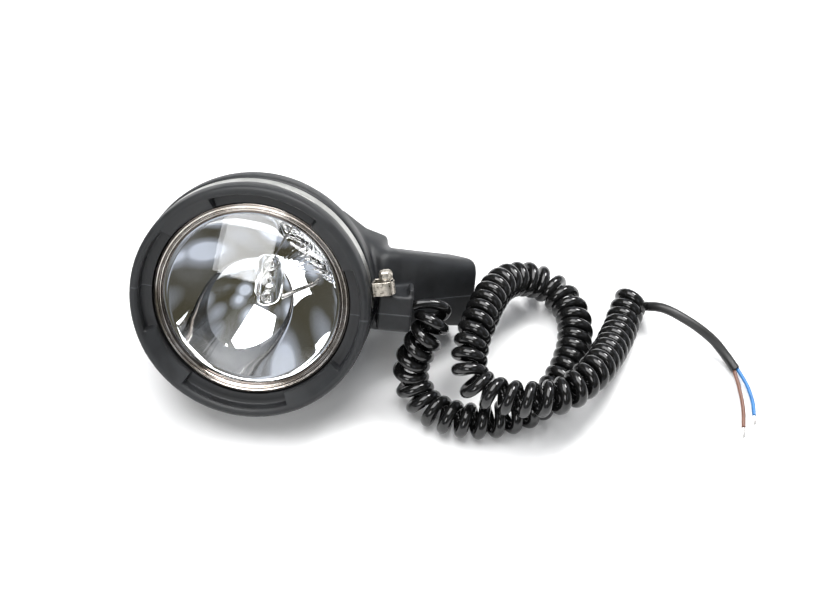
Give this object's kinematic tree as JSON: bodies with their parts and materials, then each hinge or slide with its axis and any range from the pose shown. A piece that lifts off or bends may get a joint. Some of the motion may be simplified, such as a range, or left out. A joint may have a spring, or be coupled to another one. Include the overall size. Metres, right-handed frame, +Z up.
{
  "type": "hand-held searchlight",
  "caption": "Hand-held rubber searchlight with a sealed-beam lamp, a worm-drive clamp, a pistol grip and a curly cord with bare cores.",
  "frame": {"origin": "middle of the footprint of the head and grip, on the surface that the lamp lies on", "axes": "+X to the grip's end, +Z up, lens facing -Y and up"},
  "size_m": [0.3912, 0.1339, 0.1442],
  "materials": {
    "black_rubber": "satin moulded rubber with faint mottling",
    "stainless_steel": "bright stainless strip",
    "chrome": "polished, with fine concentric lines",
    "mirror_coating": "vacuum-coated mirror",
    "clear_glass": "clear polished glass",
    "brass": "machined",
    "tungsten": "drawn wire",
    "black_nylon": "moulded",
    "black_cord": "glossy sheath",
    "blue_core": "satin insulation",
    "brown_core": "satin insulation",
    "tinned_copper": "tinned strands"
  },
  "bodies": {
    "root": {"bezel_ring": "chrome", "clamp_band": "stainless_steel", "clamp_housing": "stainless_steel", "cord_clip": "black_nylon", "cord_coil": "black_cord", "cord_inner": "black_cord", "cord_leadout": "black_cord", "cord_tail": "black_cord", "core_blue": "blue_core", "core_brown": "brown_core", "core_tip_blue": "tinned_copper", "core_tip_brown": "tinned_copper", "ferrule_1": "chrome", "ferrule_2": "chrome", "ferrule_3": "chrome", "filament": "tungsten", "filament_post_1": "tungsten", "filament_post_2": "tungsten", "front_bumper": "black_rubber", "front_lens": "clear_glass", "lead_blue": "blue_core", "lead_brown": "brown_core", "lead_switched": "brown_core", "reflector": "mirror_coating", "ring_terminal_blue": "tinned_copper", "ring_terminal_brown": "tinned_copper", "rubber_housing": "black_rubber", "switch_body": "black_nylon", "switch_collar": "stainless_steel", "terminal_nut_blue": "brass", "terminal_nut_brown": "brass", "terminal_stud_1": "brass", "terminal_stud_2": "brass"},
    "screw": {"clamp_screw": "stainless_steel"},
    "button": {"switch_button": "black_rubber"}
  },
  "joints": [
    {"name": "clamp_screw_turn", "type": "hinge", "parent": "root", "child": "screw", "pos_m": [0.05137, -0.00985, 0.08717], "axis": [-0.1031, 0.5812, 0.8072], "continuous": true},
    {"name": "switch_press", "type": "slide", "parent": "root", "child": "button", "axis": [0.5102, -0.7407, 0.4371], "range_m": [0, 0.003], "stiffness_N_per_m": 300, "springref_m": -0.002}
  ]
}
